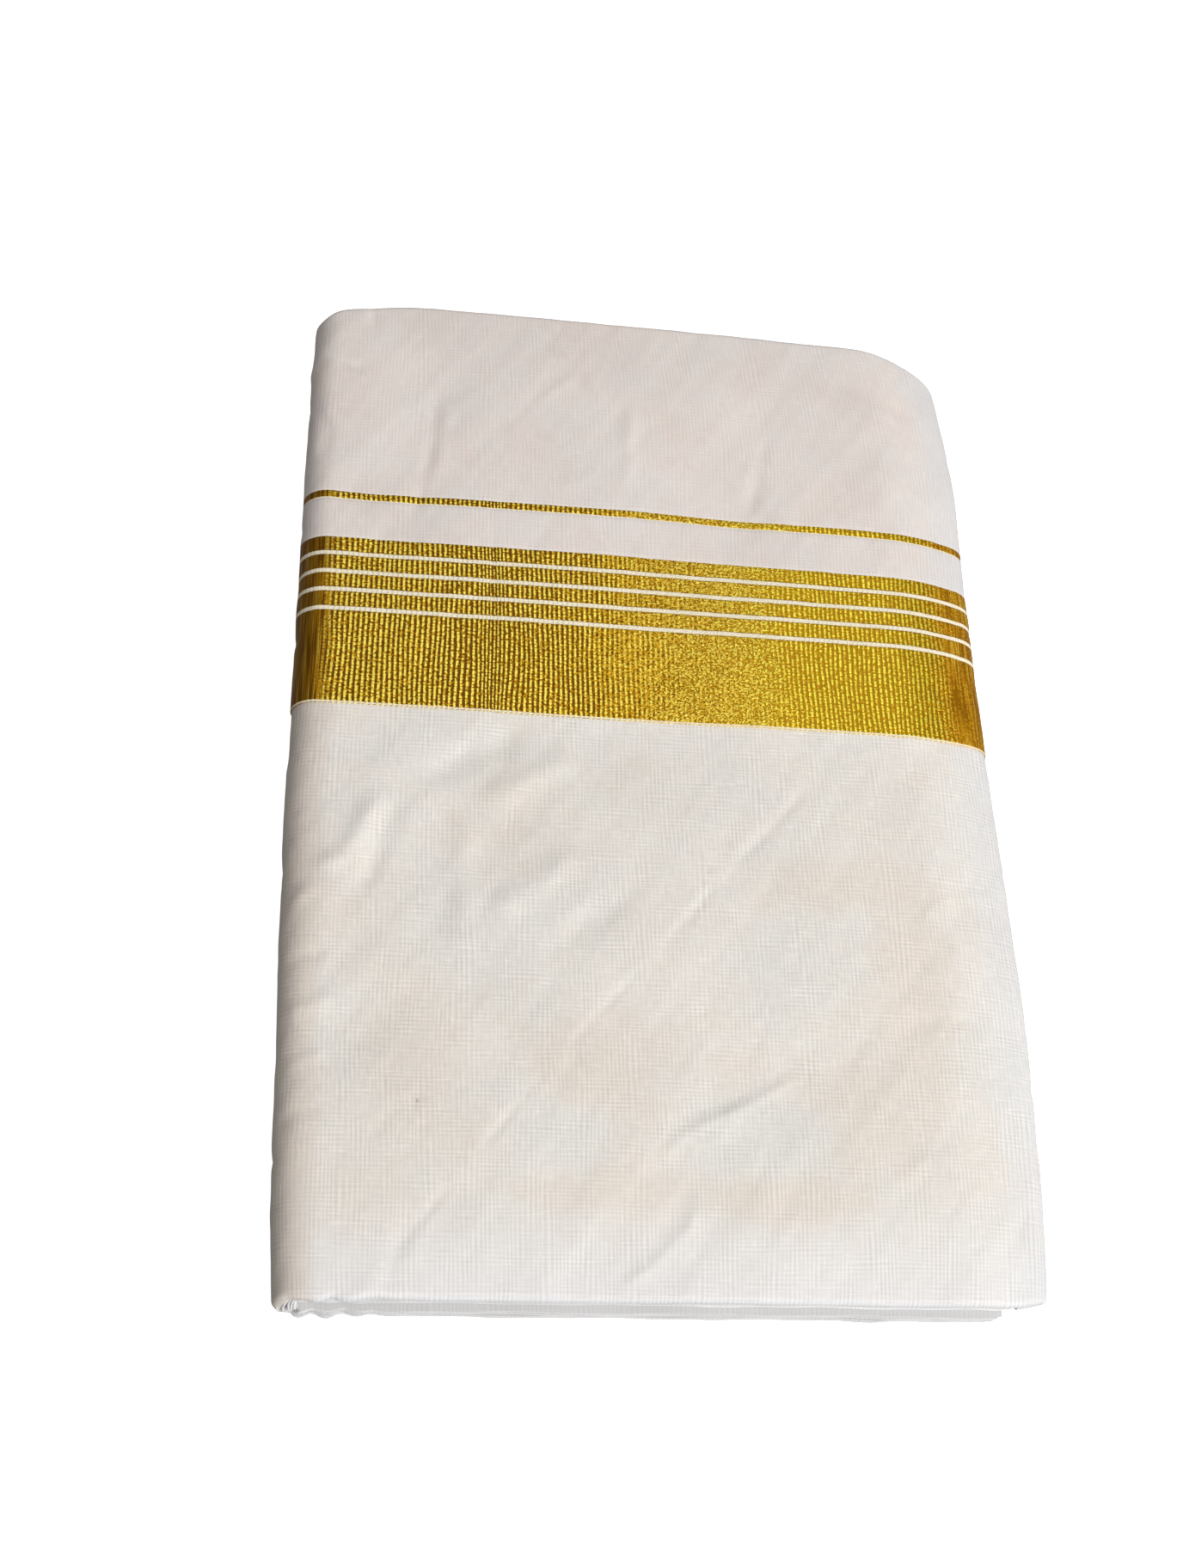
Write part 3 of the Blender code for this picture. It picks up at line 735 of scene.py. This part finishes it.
class Tree:
    """A material's nodes, with one short call for each kind."""

    def __init__(self, name):
        self.material = bpy.data.materials.new(name)
        self.material.use_nodes = True
        self.tree = self.material.node_tree
        self.shader = self.tree.nodes["Principled BSDF"]

    def node(self, kind, settings=None, inputs=None):
        made = self.tree.nodes.new(kind)
        for key, value in (settings or {}).items():
            setattr(made, key, value)
        for key, value in (inputs or {}).items():
            self.give(made.inputs[key], value)
        return made

    def give(self, socket, value):
        if isinstance(value, bpy.types.NodeSocket):
            self.tree.links.new(value, socket)
        else:
            socket.default_value = value

    def math(self, operation, *values):
        return self.node("ShaderNodeMath", {"operation": operation}, dict(enumerate(values))).outputs[0]

    def between(self, value, low, high, out_low=0.0, out_high=1.0):
        """A smooth change from one number to another as the value goes from low to high."""
        settings = {"interpolation_type": "SMOOTHSTEP"}
        inputs = {0: value, 1: low, 2: high, 3: out_low, 4: out_high}
        return self.node("ShaderNodeMapRange", settings, inputs).outputs[0]

    def vector(self, x, y, z):
        return self.node("ShaderNodeCombineXYZ", None, {0: x, 1: y, 2: z}).outputs[0]

    def noise(self, x, y, z=0.0, detail=1.0, roughness=0.5):
        """Noise, from 0 to 1, at a place given in cells."""
        inputs = {"Vector": self.vector(x, y, z), "Scale": 1.0, "Detail": detail, "Roughness": roughness}
        return self.node("ShaderNodeTexNoise", None, inputs).outputs[0]

    def lumps(self, x, y, z, scatter, low, high):
        """Round lumps, 1 in their middles and 0 between them, one to a cell and scattered by that much."""
        inputs = {"Vector": self.vector(x, y, z), "Scale": 1.0, "Randomness": scatter}
        away = self.node("ShaderNodeTexVoronoi", None, inputs).outputs["Distance"]
        return self.between(away, high, low)

    def mix(self, share, one, other):
        settings = {"data_type": "RGBA", "blend_type": "MIX"}
        made = self.node("ShaderNodeMix", settings)
        self.give(made.inputs[0], share)
        self.give(made.inputs[6], one)
        self.give(made.inputs[7], other)
        return made.outputs[2]

    def scaled(self, colour, factor):
        """A colour times a number."""
        made = self.node("ShaderNodeVectorMath", {"operation": "SCALE"})
        self.give(made.inputs[0], colour)
        self.give(made.inputs[3], factor)
        return made.outputs[0]

    def tinted(self, colour, tint):
        """A colour with its red, green and blue each times a number."""
        made = self.node("ShaderNodeVectorMath", {"operation": "MULTIPLY"}, {0: colour, 1: tint})
        return made.outputs[0]

    def place(self):
        """The place on the cloth in millimetres, in X and Y, and how much painted shade it has between plies,
        0 to 1.6.
        """
        held = self.node("ShaderNodeAttribute", {"attribute_name": "cloth"}).outputs["Vector"]
        parts = self.node("ShaderNodeSeparateXYZ", None, {0: held}).outputs
        return self.math("MULTIPLY", parts[0], 1000.0), self.math("MULTIPLY", parts[1], 1000.0), parts[2]

    def bump(self, height, distance, strength=1.0):
        inputs = {"Height": height, "Distance": distance, "Strength": strength}
        return self.node("ShaderNodeBump", None, inputs).outputs[0]


def rgb(red, green, blue):
    return (red, green, blue, 1.0)


def threads(t, place, other, pitch, wander, seed):
    """Threads that lie side by side along one way: a wave with a wandering pitch, from -1 to 1."""
    drift = t.noise(t.math("MULTIPLY", place, 0.09), t.math("MULTIPLY", other, 0.012), seed, 2.0)
    phase = t.math("MULTIPLY_ADD", place, 2 * math.pi / pitch, t.math("MULTIPLY", drift, wander))
    return t.math("SINE", phase)


# The pitches of the threads that show, in millimetres
WARP_PITCH = 1.42
WEFT_PITCH = 1.36
WARP_PITCH_FINE = 0.47
WEFT_PITCH_FINE = 0.45

# Soft stains in the front panel, in millimetres: the middle, the half sizes, and how warm, or cool if below 0
STAINS = (
    (65, -46, 30, 10, 0.8),
    (82, -80, 14, 36, 0.9),
    (62, -127, 21, 22, 0.8),
    (34, -153, 26, 9, 0.9),
    (-26, -112, 18, 12, 0.6),
    (-22, -151, 30, 8, 0.7),
    (-80, -106, 17, 30, 0.55),
    (-96, -160, 14, 18, 0.4),
    (28, -133, 23, 13, -0.9),
    (-33, -135, 12, 11, -0.8),
    (38, -80, 16, 24, -0.5),
    (-58, -68, 24, 26, -0.5),
    (-70, -2, 34, 12, -0.5),
)


def cotton(name, plain, stains=(), cross=0.5, weave=1.0, spine_shade_share=0.85, lip=0.0):
    """Fine cotton: a thread grid, thick and thin threads, soft patches of warmer and cooler white, and
    painted light and shade.

    cross and weave scale the cross threads and the whole weave, the next number is how much painted shade,
    darker and warmer, the fold at the spine gets, and lip how much painted shade the edge that is folded
    under at the near end gets.
    """
    t = Tree(name)
    x, y, painted_ply_shade = t.place()
    near_end = t.between(y, -125.0, -172.0)
    warp = threads(t, x, y, WARP_PITCH, 22.0, 3.1)
    weft = threads(t, y, x, WEFT_PITCH, 20.0, 8.4)
    warp_share = t.noise(t.math("MULTIPLY", x, 0.16), t.math("MULTIPLY", y, 0.05), 5.0, 2.0)
    warp_share = t.between(warp_share, 0.35, 0.65)
    weft_share = t.noise(t.math("MULTIPLY", x, 0.08), t.math("MULTIPLY", y, 0.2), 9.0, 2.0)
    weft_share = t.between(weft_share, 0.4, 0.66)
    streak = t.noise(t.math("MULTIPLY", x, 2.1), t.math("MULTIPLY", y, 0.17), 1.0, 2.0, 0.6)
    cross_streak = t.noise(t.math("MULTIPLY", x, 0.16), t.math("MULTIPLY", y, 2.1), 2.0, 2.0, 0.6)
    slub = t.noise(t.math("MULTIPLY", x, 0.9), t.math("MULTIPLY", y, 0.16), 12.0, 2.0)
    cross_slub = t.noise(t.math("MULTIPLY", x, 0.13), t.math("MULTIPLY", y, 1.0), 14.0, 2.0)
    warp_part = t.math("MULTIPLY", warp, t.math("MULTIPLY_ADD", warp_share, 0.026, 0.008))
    warp_part = t.math("MULTIPLY", warp_part, t.math("MULTIPLY_ADD", near_end, 0.1, 1.0))
    weft_part = t.math("MULTIPLY", weft, t.math("MULTIPLY_ADD", weft_share, 0.026 * cross, 0.004 * cross))
    streak_strength = t.math("MULTIPLY_ADD", near_end, -0.06, 0.12)
    streaks = t.math("MULTIPLY", t.math("SUBTRACT", streak, 0.5), streak_strength)
    cross_streaks = t.math("MULTIPLY", t.math("SUBTRACT", cross_streak, 0.5), 0.11 * cross)
    thick = t.math("MULTIPLY", t.between(slub, 0.62, 0.74), 0.03)
    cross_thick = t.math("MULTIPLY", t.between(cross_slub, 0.62, 0.72), 0.035)
    crossing = t.math("ADD", t.math("ADD", weft_part, cross_streaks), cross_thick)
    crossing = t.math("MULTIPLY", crossing, t.math("MULTIPLY_ADD", near_end, -0.25, 1.0))
    total = t.math("ADD", t.math("ADD", warp_part, streaks), t.math("ADD", thick, crossing))
    patch = t.noise(t.math("MULTIPLY", x, 0.028), t.math("MULTIPLY", y, 0.024), 4.0, 3.0, 0.62)
    small_patch = t.noise(t.math("MULTIPLY", x, 0.11), t.math("MULTIPLY", y, 0.1), 6.0, 2.0)
    tone = t.math("MULTIPLY_ADD", small_patch, 0.35, t.math("SUBTRACT", patch, 0.175))
    warm = rgb(plain[0] * 0.98, plain[1] * 0.94, plain[2] * 0.905)
    cool = rgb(plain[0] * 0.97, plain[1] * 1.0, plain[2] * 1.02)
    colour = t.mix(t.between(tone, 0.5, 0.66, 0.0, 0.5), rgb(*plain), warm)
    colour = t.mix(t.between(tone, 0.5, 0.36, 0.0, 0.5), colour, cool)
    blur = t.math("MULTIPLY", t.math("SUBTRACT", small_patch, 0.5), 1.3)
    for x0, y0, half_x, half_y, strength in stains:
        across_it = t.math("POWER", t.math("MULTIPLY", t.math("SUBTRACT", x, x0), 1 / half_x), 2.0)
        along_it = t.math("POWER", t.math("MULTIPLY", t.math("SUBTRACT", y, y0), 1 / half_y), 2.0)
        away = t.math("ADD", t.math("SQRT", t.math("ADD", across_it, along_it)), blur)
        colour = t.mix(t.between(away, 1.4, 0.5, 0.0, abs(strength)), colour, warm if strength > 0 else cool)
    # painted light, whiter towards the near end; painted shade, darker where it turns under and greyer at the
    # right edge
    whiter = [max(part, least) for part, least in zip(plain, (0.845, 0.82, 0.8))]
    colour = t.mix(t.between(y, -150.0, -181.0, 0.0, 0.9), colour, rgb(*whiter))
    turned_under_shade = rgb(whiter[0] * 0.9, whiter[1] * 0.92, whiter[2] * 0.95)
    colour = t.mix(t.between(y, -182.2, -184.4, 0.0, lip), colour, turned_under_shade)
    colour = t.mix(t.between(x, 98.0, 120.0, 0.0, 0.8), colour, rgb(0.745, 0.735, 0.73))
    # painted shade, darker and warmer, on the fold round the spine
    spine_shade = t.math("MULTIPLY", t.between(x, -107.5, -116.5), t.between(x, -146.0, -136.0))
    spine_shade_colour = rgb(plain[0] * 0.82, plain[1] * 0.77, plain[2] * 0.735)
    colour = t.mix(t.math("MULTIPLY", spine_shade, spine_shade_share), colour, spine_shade_colour)
    # small dark specks where the yarn has a husk in it
    speck_place = t.vector(t.math("MULTIPLY", x, 0.028), t.math("MULTIPLY", y, 0.022), 7.0)
    speck = t.node("ShaderNodeTexVoronoi", None, {"Vector": speck_place, "Scale": 1.0}).outputs["Distance"]
    colour = t.mix(t.between(speck, 0.022, 0.012, 0.0, 0.45), colour, rgb(0.3, 0.26, 0.22))
    broad = t.noise(t.math("MULTIPLY", x, 0.036), t.math("MULTIPLY", y, 0.03), 31.0, 2.0, 0.45)
    factor = t.math("MULTIPLY_ADD", total, weave, t.math("MULTIPLY_ADD", broad, 0.12, 0.94))
    # painted shade between the plies darkens the colour here
    factor = t.math("MULTIPLY", factor, t.math("MULTIPLY_ADD", painted_ply_shade, -0.25, 1.0))
    t.give(t.shader.inputs["Base Color"], t.scaled(colour, factor))
    t.shader.inputs["Roughness"].default_value = 0.82
    t.shader.inputs["Specular IOR Level"].default_value = 0.25
    t.shader.inputs["Sheen Weight"].default_value = 0.06
    t.shader.inputs["Sheen Roughness"].default_value = 0.5
    fine_warp = threads(t, x, y, WARP_PITCH_FINE, 9.0, 21.0)
    fine = t.math("ADD", fine_warp, threads(t, y, x, WEFT_PITCH_FINE, 9.0, 23.0))
    height = t.math("MULTIPLY_ADD", total, 9.0, t.math("MULTIPLY", fine, 0.12))
    t.give(t.shader.inputs["Normal"], t.bump(height, 0.05 * MM, 0.6))
    return t.material


# The gold border, in millimetres
RIB_PITCH = 1.78
BEADS_PER_MM = 0.88
GOLD_LINES = (47.8, 55.4, 62.7, 70.2)  # the thin white lines in the border, along Y
BORDER_THREAD = 12.0  # a pale thread along the border's free edge, along Y
LINE_THREAD = 93.3  # and one along the near edge of the thin gold line
FOLD_MARK = -57.3  # an old fold crosses the border here: its ribs lie closer, with a thin dark line


def zari(name, lines, thread_at):
    """Woven gold thread: ribs of bright beads on the left, which dissolve into glitter towards the right."""
    t = Tree(name)
    x, y, _ = t.place()
    drift = t.noise(t.math("MULTIPLY", x, 0.05), t.math("MULTIPLY", y, 0.02), 3.0, 2.0)
    closer = t.between(x, FOLD_MARK - 6, FOLD_MARK + 6, 0.0, 2.2)
    rib_place = t.math("MULTIPLY_ADD", x, 1 / RIB_PITCH, t.math("MULTIPLY_ADD", drift, 2.0, closer))
    rib = t.between(t.math("SINE", t.math("MULTIPLY", rib_place, 2 * math.pi)), -0.75, 0.8)
    bead = t.lumps(t.math("ADD", rib_place, 0.25), t.math("MULTIPLY", y, BEADS_PER_MM), 0.3, 0.6, 0.1, 0.62)
    glint = t.noise(t.math("MULTIPLY", x, 0.9), t.math("MULTIPLY", y, 1.25), 11.0, 2.0, 0.6)
    ribbed = t.math("MULTIPLY", rib, t.math("MULTIPLY_ADD", bead, 1.0, 0.22))
    ribbed = t.math("ADD", ribbed, t.math("MULTIPLY_ADD", glint, 1.2, -0.5))
    scatter = t.lumps(t.math("MULTIPLY", x, 0.8), t.math("MULTIPLY", y, 0.92), 0.6, 1.0, 0.15, 0.72)
    fine_glint = t.noise(t.math("MULTIPLY", x, 1.8), t.math("MULTIPLY", y, 1.9), 17.0, 1.0)
    scatter = t.math("MULTIPLY_ADD", scatter, 0.5, t.math("MULTIPLY_ADD", fine_glint, 2.2, -0.85))
    wobble = t.math("MULTIPLY", t.math("SUBTRACT", drift, 0.5), 50.0)
    shifted = t.math("ADD", x, wobble)
    to_glitter = t.between(shifted, -32.0, 14.0, 0.0, 0.8)
    back = t.math("MULTIPLY", t.between(shifted, 34.0, 62.0), t.between(x, 114.0, 102.0))
    to_glitter = t.math("SUBTRACT", to_glitter, t.math("MULTIPLY", back, 0.62))
    level = t.math("ADD", t.math("MULTIPLY", ribbed, t.math("SUBTRACT", 1.0, to_glitter)),
                   t.math("MULTIPLY", scatter, to_glitter))
    # the turned-down sides have finer ribs and no beads, and painted shade makes their ribs darker
    left_side = t.between(x, -109.5, -119.5)
    side = t.math("MAXIMUM", left_side, t.between(x, 103.0, 112.0, 0.0, 0.7))
    fine_rib = t.noise(t.math("MULTIPLY", x, 1.5), t.math("MULTIPLY", y, 0.05), 2.0)
    fine_rib = t.math("MULTIPLY_ADD", fine_rib, 1.3, -0.37)
    level = t.math("MULTIPLY", level, t.math("SUBTRACT", 1.0, side))
    level = t.math("ADD", level, t.math("MULTIPLY", fine_rib, side))
    stronger = t.math("ADD", t.between(x, -72.0, -30.0, 1.8, 1.4), t.between(x, 20.0, 50.0, 0.0, 0.4))
    level = t.math("MULTIPLY_ADD", t.math("SUBTRACT", level, 0.45), stronger, 0.45)
    brighter = t.math("ADD", t.between(x, -86.0, -64.0, 0.17, 0.08), t.between(x, -10.0, 52.0, 0.0, 0.04))
    level = t.math("ADD", level, brighter)
    mark = t.between(t.math("ABSOLUTE", t.math("SUBTRACT", x, FOLD_MARK)), 0.7, 0.2, 0.0, 0.4)
    level = t.math("SUBTRACT", level, mark)
    level = t.math("MAXIMUM", t.math("MINIMUM", level, 1.0), t.between(x, -30.0, 50.0, 0.0, 0.2))
    shadow, body, light = rgb(0.15, 0.055, 0.001), rgb(0.75, 0.395, 0.006), rgb(1.0, 0.82, 0.12)
    colour = t.mix(t.between(level, 0.02, 0.42), shadow, body)
    colour = t.mix(t.between(level, 0.42, 0.85), colour, light)
    tinted = t.tinted(colour, (1.0, 1.04, 0.7))
    colour = t.mix(t.math("MULTIPLY", t.between(x, 18.0, 62.0), t.between(x, 112.0, 98.0)), colour, tinted)
    # painted shade: darker and redder towards the nose
    redder = t.tinted(colour, (1.0, 0.86, 0.6))
    colour = t.mix(t.between(x, 98.0, 112.0), colour, redder)
    # painted shade: dark brown on the spine's side
    colour = t.mix(t.math("MULTIPLY", left_side, 0.76), colour, rgb(0.18, 0.067, 0.001))
    white_share = None
    ragged = t.math("MULTIPLY_ADD", fine_glint, 0.5, -0.25)
    for centre in lines:
        away = t.math("ADD", t.math("ABSOLUTE", t.math("SUBTRACT", y, centre)), ragged)
        white = t.between(away, 0.92, 0.66)
        dark = t.math("MULTIPLY", t.between(away, 1.35, 0.95), 0.6)
        colour = t.mix(dark, colour, rgb(0.2, 0.11, 0.01))
        colour = t.mix(white, colour, rgb(0.97, 0.87, 0.66))
        white_share = white if white_share is None else t.math("MAXIMUM", white_share, white)
    # the pale thread along the edge
    away = t.math("ABSOLUTE", t.math("SUBTRACT", y, thread_at))
    pale = t.between(away, 0.42, 0.2)
    colour = t.mix(pale, colour, rgb(0.9, 0.8, 0.56))
    white_share = pale if white_share is None else t.math("MAXIMUM", white_share, pale)
    t.give(t.shader.inputs["Base Color"], colour)
    gold_share = t.math("SUBTRACT", 1.0, white_share)
    t.give(t.shader.inputs["Metallic"], t.math("MULTIPLY", gold_share, 0.6))
    t.give(t.shader.inputs["Roughness"], t.math("MULTIPLY_ADD", gold_share, -0.4, 0.8))
    t.shader.inputs["Specular IOR Level"].default_value = 0.2
    t.give(t.shader.inputs["Normal"], t.bump(level, 0.18 * MM, 1.0))
    return t.material


plain_panel = cotton("cotton_front", (0.825, 0.775, 0.715), STAINS, cross=0.9, weave=2.4, lip=1.0)
plain_flap = cotton("cotton_flap", (0.822, 0.744, 0.696), cross=0.6, weave=1.7, spine_shade_share=0.15)
# painted light: the plies' own white is lighter than the front panel's, so their edges come out as bright as
# the top
plain_plies = cotton("cotton_plies", (0.95, 0.938, 0.934), cross=0.5, weave=1.4)
gold_band = zari("zari_band", GOLD_LINES, BORDER_THREAD)
gold_line = zari("zari_line", (), LINE_THREAD)


def panel_depth(y):
    sunk = (y - SELVEDGE_Y + SETTLE_LENGTH) / (SETTLE_LENGTH - SETTLE_EARLY)
    return PANEL_SINK * ease(sunk) + UNDER_FLAP * ease((y - SELVEDGE_Y - 0.5 * MM) / (9 * MM))


def flap_depth(y):
    """The flap is the outermost cloth everywhere."""
    return 0.0 * y


path = wrap_path(1.2 * MM, 4.5 * MM)
panel_rows = spread(-END_ROW + PANEL_LIP, SELVEDGE_Y + 2 * MM, 1.35 * MM)
# wider apart where the flap hides the panel
panel_rows += [y * MM for y in (16, 20, 26, 34, 44, 56, 68, 80, 92, 104, 116, 130, 144, 158, 170, 178, 183.4)]
band_rows = spread(SELVEDGE_Y, BORDER_FAR_Y, 1.6 * MM)
gap_rows = spread(BORDER_FAR_Y, LINE_NEAR_Y, 1.6 * MM)
line_rows = spread(LINE_NEAR_Y, LINE_FAR_Y, 1.6 * MM)
flap_rows = spread(LINE_FAR_Y, 183.7 * MM, 1.4 * MM)
panel = shell_piece("front_panel_cloth", plain_panel, path, panel_rows, panel_depth, SHELL,
                    near_lip=PANEL_LIP)
band = shell_piece("border_band_cloth", gold_band, path, band_rows, flap_depth, FLAP_SHELL)
gap = shell_piece("flap_gap_cloth", plain_flap, path, gap_rows, flap_depth, FLAP_SHELL)
line = shell_piece("border_line_cloth", gold_line, path, line_rows, flap_depth, FLAP_SHELL)
flap = shell_piece("flap_cloth_cloth", plain_flap, path, flap_rows, flap_depth, FLAP_SHELL, far_lip=FLAP_LIP)
plies = folded_plies("folded_plies", plain_plies)

for piece, node, slot in (
    (panel, "front_panel", "cotton"),
    (band, "border_band", "zari"),
    (gap, "flap_gap", "cotton"),
    (line, "border_line", "zari"),
    (flap, "flap_cloth", "cotton"),
    (plies, "hidden_layers", "cotton"),
):
    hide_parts(node)

# A white surface that is seen but throws no light back on the cloth's sides
data = bpy.data.meshes.new("surface")
data.from_pydata([(-3, -3, 0), (3, -3, 0), (3, 3, 0), (-3, 3, 0)], [], [(0, 1, 2, 3)])
floor = bpy.data.objects.new("surface", data)
bpy.context.collection.objects.link(floor)
floor.location.z = -0.05 * MM
white = Tree("surface_white")
white.shader.inputs["Base Color"].default_value = rgb(0.92, 0.92, 0.92)
white.shader.inputs["Roughness"].default_value = 0.9
white.shader.inputs["Specular IOR Level"].default_value = 0.0
white.shader.inputs["Emission Color"].default_value = rgb(1, 1, 1)
white.shader.inputs["Emission Strength"].default_value = 0.9
data.materials.append(white.material)
floor.visible_diffuse = False
floor.visible_glossy = False


def softbox(name, place, size, power, colour):
    light = bpy.data.lights.new(name, "AREA")
    light.shape = "RECTANGLE"
    light.size, light.size_y = size
    light.energy = power
    light.color = colour
    lamp = bpy.data.objects.new(name, light)
    bpy.context.collection.objects.link(lamp)
    lamp.location = place
    lamp.rotation_mode = "QUATERNION"
    lamp.rotation_quaternion = (Vector(place) - Vector((0, 0, 0.01))).to_track_quat("Z", "Y")


softbox("key", (1.4, -1.4, 1.67), (1.6, 1.6), 59.5, (1.0, 1.0, 1.0))
softbox("back", (0.45, 1.22, 2.1), (1.5, 1.5), 10.5, (1.0, 1.0, 1.0))
softbox("low fill", (-0.1, -1.5, 0.4), (1.2, 0.5), 3.3, (1.0, 1.0, 1.0))
scene = bpy.context.scene
world = bpy.data.worlds.new("studio")
scene.world = world
world.use_nodes = True
world.node_tree.nodes["Background"].inputs[0].default_value = (1, 1, 1, 1)
world.node_tree.nodes["Background"].inputs[1].default_value = 0.22
scene.view_settings.view_transform = "Standard"

# The camera stands where the photo was taken from
lens = bpy.data.cameras.new("camera")
lens.lens = 45.37
lens.sensor_width = 36
camera = bpy.data.objects.new("camera", lens)
bpy.context.collection.objects.link(camera)
forward = Vector((0.1631, 0.4467, -0.8797)).normalized()
right = forward.cross(Vector((-0.0553, 0.8944, 0.4439))).normalized()
above = right.cross(forward)
turned = Matrix((right, above, -forward)).transposed().to_4x4()
camera.matrix_world = Matrix.Translation((-0.1311, -0.3089, 0.5997)) @ turned
lens.clip_start = 0.01
scene.camera = camera
